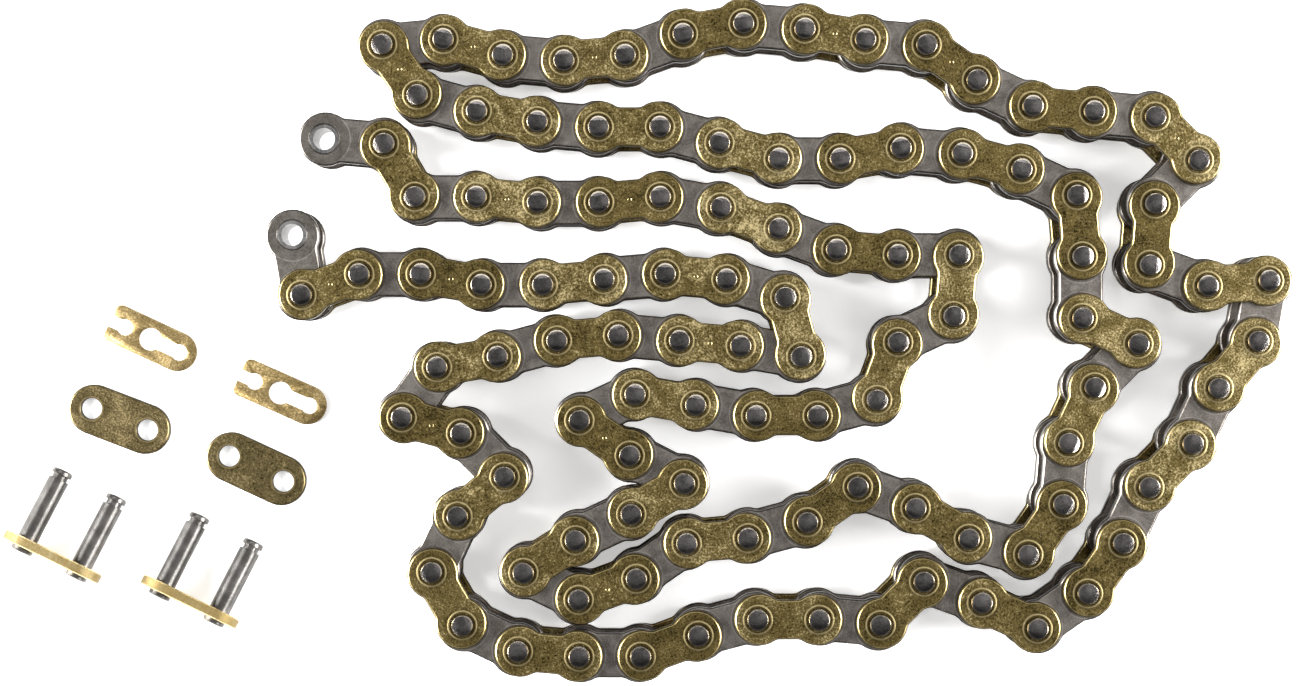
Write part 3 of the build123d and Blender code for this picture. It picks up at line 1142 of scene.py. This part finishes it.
@dataclass
class LaidChain:
    """The links of the laid chain: plates, pins, bushes and rollers."""

    dresser: Dresser
    finishes: Finishes
    outer_waist_share: float = 0.764
    inner_waist_share: float = 0.821
    coined_ring: tuple[float, float] = (0.5, 0.95)
    pin_clearance: float = 0.05
    bush_edge: float = 0.15
    roller_edge: float = 0.3
    marked_links: tuple[int, ...] = (3, 5, 19, 25, 51, 53, 55, 59, 61, 65, 91, 97, 101, 105, 107)

    def build(self) -> None:
        """Dresses every node of the laid chain."""
        islands = self.dresser.lay.islands
        pin = islands["end_a_pins_1"][0]
        bush = islands["end_a_bushes_1"][0]
        roller = islands["end_a_roller_1"][0]
        east, up = Vector((1, 0, 0)), Vector((0, 0, 1))
        pin_radius = pin.size_mm(east) / 2
        bush_radius = bush.size_mm(east) / 2
        roller_radius = roller.size_mm(east) / 2
        self.dress_plates(Row.OUTER, pin_radius, self.outer_waist_share)
        self.dress_plates(Row.INNER, bush_radius, self.inner_waist_share)
        self.dress_round("pins", RivetedPin(pin_radius, pin.size_mm(up)).model(), Row.OUTER,
                         self.finishes.pins, "pins")
        bush_shape = Barrel("bush", bush_radius, pin_radius + self.pin_clearance, bush.size_mm(up), self.bush_edge)
        self.dress_round("bushes", bush_shape.model(), Row.INNER, self.finishes.bushes, "bushes")
        roller_shape = Barrel("roller", roller_radius, bush_radius + self.pin_clearance, roller.size_mm(up),
                              self.roller_edge)
        self.dress_round("roller", roller_shape.model(), Row.INNER, self.finishes.rollers, "rollers")

    def dress_plates(self, row: Row, hole_radius: float, waist_share: float) -> None:
        """Dresses the upper and lower plates of one row.

        Args:
            row: Inner or outer plates.
            hole_radius: Radius of their holes.
            waist_share: Their waist's share of their width.
        """
        lay = self.dresser.lay
        names = [name for name in lay.islands if row.value in name]
        sample = lay.islands[names[0]][0]
        along = Vector((math.cos(lay.link_of_plate(sample).heading), math.sin(lay.link_of_plate(sample).heading), 0))
        shape = PressedPlate(
            row.value, lay.pitch / MM, sample.size_mm(along), sample.size_mm(Vector((-along.y, along.x, 0))),
            (sample.top - sample.bottom) / MM, hole_radius, waist_share,
        )
        finish, slot = self.finishes.inner_plates, "inner_plates"
        if row is Row.OUTER:
            finish, slot = self.finishes.outer_plates, "outer_plates"
            inner, outer = self.coined_ring
            shape.coined_ring = (hole_radius + inner, hole_radius + outer)
        plain = shape.model()
        marked = plain
        if row is Row.OUTER:
            shape.mark = LozengeMark()
            marked = shape.model()
        for name in names:
            upper = "upper" in name
            placed = []
            for island in lay.islands[name]:
                link = lay.link_of_plate(island)
                height = island.bottom if upper else island.top
                pattern = marked if upper and link.number in self.marked_links else plain
                placed.append((pattern, stand(link.middle, height, link.heading, turned_over=not upper)))
            self.dresser.dress(name, placed, finish, slot)
        plain.discard()
        if marked is not plain:
            marked.discard()

    def dress_round(self, kind: str, pattern: Pattern, row: Row, finish: bpy.types.Material, slot: str) -> None:
        """Dresses every pin, bush or roller.

        Args:
            kind: What their nodes are called.
            pattern: Their shape.
            row: The links that hold them.
            finish: Their material.
            slot: The record's material slot.
        """
        lay = self.dresser.lay
        for name in lay.islands:
            if kind in name and "connecting" not in name:
                placed = []
                for island in lay.islands[name]:
                    spot = lay.holes[lay.hole_at(island.middle)]
                    placed.append((pattern, stand(spot, island.middle.z, lay.link_at(island, row).heading)))
                self.dresser.dress(name, placed, finish, slot)
        pattern.discard()


@dataclass
class JoiningSets:
    """The loose parts that join the chain's ends: connecting links, cover plates and spring clips."""

    dresser: Dresser
    finishes: Finishes
    sets: tuple[int, ...] = (1, 2)
    rivet_height: float = 1.0
    rivet_radius: float = 2.4
    groove_radius: float = 1.7
    groove_width: float = 1.0
    tip_height: float = 1.2
    cover_hole_clearance: float = 0.04
    clip_closed_end_reach: float = 3.7
    clip_tip_length: float = 1.5
    plate_sides: int = 72

    def build(self) -> None:
        """Dresses the nodes of both sets."""
        for number in self.sets:
            self.dress_clip(f"spring_clip_{number}")
            self.dress_cover(f"cover_plate_{number}")
            self.dress_connecting_link(number)

    def dress_cover(self, node: str) -> None:
        """Dresses a cover plate, which lies flat."""
        lay = self.dresser.lay
        island = lay.islands[node][0]
        along = island.long_axis()
        shape = PressedPlate(
            node, lay.pitch / MM, island.size_mm(along), island.size_mm(Vector((-along.y, along.x, 0))),
            (island.top - island.bottom) / MM, self.pin_radius() + self.cover_hole_clearance,
            sides=self.plate_sides,
        )
        pattern = shape.model()
        place = stand(island.middle, island.bottom, math.atan2(along.y, along.x))
        self.dresser.dress(node, [(pattern, place)], self.finishes.cover_plates, "cover_plates")
        pattern.discard()

    def pin_radius(self) -> float:
        """The radius that every pin has, in millimetres."""
        return self.dresser.lay.islands["end_a_pins_1"][0].size_mm(Vector((1, 0, 0))) / 2

    def dress_clip(self, node: str) -> None:
        """Dresses a spring clip, whose closed end is the narrower at its tip."""
        lay = self.dresser.lay
        island = lay.islands[node][0]
        along = island.long_axis()
        across = Vector((-along.y, along.x, 0))
        low, high = island.reach(along)
        places = island.points @ np.array(along)
        sideways = np.abs((island.points - np.array(island.middle)) @ np.array(across))
        near = self.clip_tip_length * MM
        if sideways[places < low + near].min() < sideways[places > high - near].min():
            along, across = -along, -across
            low, high = -high, -low
        length = (high - low) / MM
        open_end_reach = length - lay.pitch / MM - self.clip_closed_end_reach
        shape = SpringClip(
            lay.pitch / MM, island.size_mm(across) / 2, open_end_reach,
            self.clip_closed_end_reach, (island.top - island.bottom) / MM,
        )
        origin = Vector((0, 0, 0)) + along * (low + shape.open_end_reach * MM)
        origin += across * sum(island.reach(across)) / 2
        place = stand(origin, island.bottom, math.atan2(along.y, along.x))
        pattern = shape.model()
        self.dresser.dress(node, [(pattern, place)], self.finishes.spring_clips, "spring_clips")
        pattern.discard()

    def dress_connecting_link(self, number: int) -> None:
        """Dresses a connecting link, which lies on one side: its plate and its two grooved pins."""
        lay = self.dresser.lay
        plate = lay.islands[f"connecting_plate_{number}"][0]
        pins = lay.islands[f"connecting_pins_{number}"]
        along = (pins[1].middle - pins[0].middle).normalized()
        between = (pins[1].middle + pins[0].middle) / 2
        outwards = (between - plate.middle).normalized()
        outwards = (outwards - along * outwards.dot(along)).normalized()
        beside = outwards.cross(along)
        thickness = plate.size_mm(outwards)
        origin = plate.middle + outwards * thickness * MM / 2
        place = Matrix((along, beside, outwards)).transposed().to_4x4()
        place.translation = origin
        shape = PressedPlate(
            f"connecting_plate_{number}", lay.pitch / MM, plate.size_mm(along), plate.size_mm(beside),
            thickness, self.pin_radius(), sides=self.plate_sides,
        )
        pattern = shape.model()
        lowered = place @ Matrix.Translation((0, 0, -thickness * MM))
        self.dresser.dress(f"connecting_plate_{number}", [(pattern, lowered)],
                           self.finishes.connecting_plates, "connecting_plates")
        pattern.discard()
        length = pins[0].size_mm(outwards) - thickness - self.rivet_height
        grooved = GroovedPin(
            self.pin_radius(), thickness, length, self.rivet_radius, self.rivet_height,
            self.groove_radius, self.groove_width, self.tip_height,
        )
        patterns = [Pattern(grooved.model(side * lay.pitch / MM / 2)) for side in (-1, 1)]
        self.dresser.dress(f"connecting_pins_{number}", [(pattern, place) for pattern in patterns],
                           self.finishes.connecting_pins, "connecting_pins")
        for pattern in patterns:
            pattern.discard()


# --- The studio ------------------------------------------------------------------------------------


@dataclass
class Studio:
    """A white table under wide soft lights, and the camera straight above it. Metres."""

    camera_height: float = 0.585
    view_width: float = 0.2766
    sensor_width: float = 36.0
    camera_x: float = 0.0015
    camera_y: float = -0.0006

    def build(self) -> None:
        """Sets up the table, the lights and the camera."""
        self.lay_table()
        self.hang_lights()
        self.set_camera()
        bpy.context.scene.view_settings.view_transform = "Standard"

    def lay_table(self) -> None:
        """The white table top."""
        Bench.clear_selection()
        bpy.ops.mesh.primitive_plane_add(size=6, location=(0, 0, 0))
        table = bpy.context.object
        table.name = "table"
        white = bpy.data.materials.new("white_table")
        white.use_nodes = True
        shader = white.node_tree.nodes["Principled BSDF"]
        shader.inputs["Base Color"].default_value = (0.93, 0.93, 0.93, 1)
        shader.inputs["Roughness"].default_value = 0.9
        shader.inputs["Emission Color"].default_value = (1, 1, 1, 1)
        shader.inputs["Emission Strength"].default_value = 0.45
        table.data.materials.append(white)

    @staticmethod
    def panel(name: str, place: Sequence[float], size: Sequence[float], power: float) -> None:
        """A soft light that faces the middle of the table.

        Args:
            name: The light's name.
            place: Where it hangs.
            size: Its two sides.
            power: Its power in watts.
        """
        light = bpy.data.lights.new(name, "AREA")
        light.shape = "RECTANGLE"
        light.size, light.size_y = size
        light.energy = power
        lamp = bpy.data.objects.new(name, light)
        lamp.location = place
        lamp.rotation_mode = "QUATERNION"
        lamp.rotation_quaternion = Vector(place).to_track_quat("Z", "Y")
        bpy.context.scene.collection.objects.link(lamp)

    def hang_lights(self) -> None:
        """Two bright sides, a wide ceiling and a pale room."""
        self.panel("ceiling", (0.0, 0.1, 1.6), (1.6, 1.2), 2.4)
        self.panel("ceiling_right", (0.7, 0.4, 1.5), (0.8, 1.2), 1.8)
        self.panel("left_side", (-1.0, 0.0, 0.42), (0.7, 0.9), 54.0)
        self.panel("right_side", (1.0, 0.0, 0.42), (0.7, 0.9), 35.0)
        self.panel("far_side", (0.0, 1.0, 1.1), (1.2, 0.4), 6.0)
        world = bpy.data.worlds.new("pale_room")
        world.use_nodes = True
        backdrop = world.node_tree.nodes["Background"]
        backdrop.inputs["Color"].default_value = (1, 1, 1, 1)
        backdrop.inputs["Strength"].default_value = 0.13
        bpy.context.scene.world = world

    def set_camera(self) -> None:
        """The camera looks straight down."""
        data = bpy.data.cameras.new("camera")
        data.sensor_width = self.sensor_width
        data.lens = self.sensor_width * self.camera_height / self.view_width
        camera = bpy.data.objects.new("camera", data)
        camera.location = (self.camera_x, self.camera_y, self.camera_height)
        bpy.context.scene.collection.objects.link(camera)
        bpy.context.scene.camera = camera


def main() -> None:
    """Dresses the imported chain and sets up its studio."""
    logging.basicConfig(level=logging.INFO, format="%(name)s: %(message)s")
    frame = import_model()
    Studio().build()
    dresser = Dresser(frame, Lay(frame["nodes"]))
    LOG.info("%d links, pitch %.3f mm", len(dresser.lay.links), dresser.lay.pitch / MM)
    finishes = Finishes.mixed()
    LaidChain(dresser, finishes).build()
    JoiningSets(dresser, finishes).build()


if __name__ == "__main__":
    main()
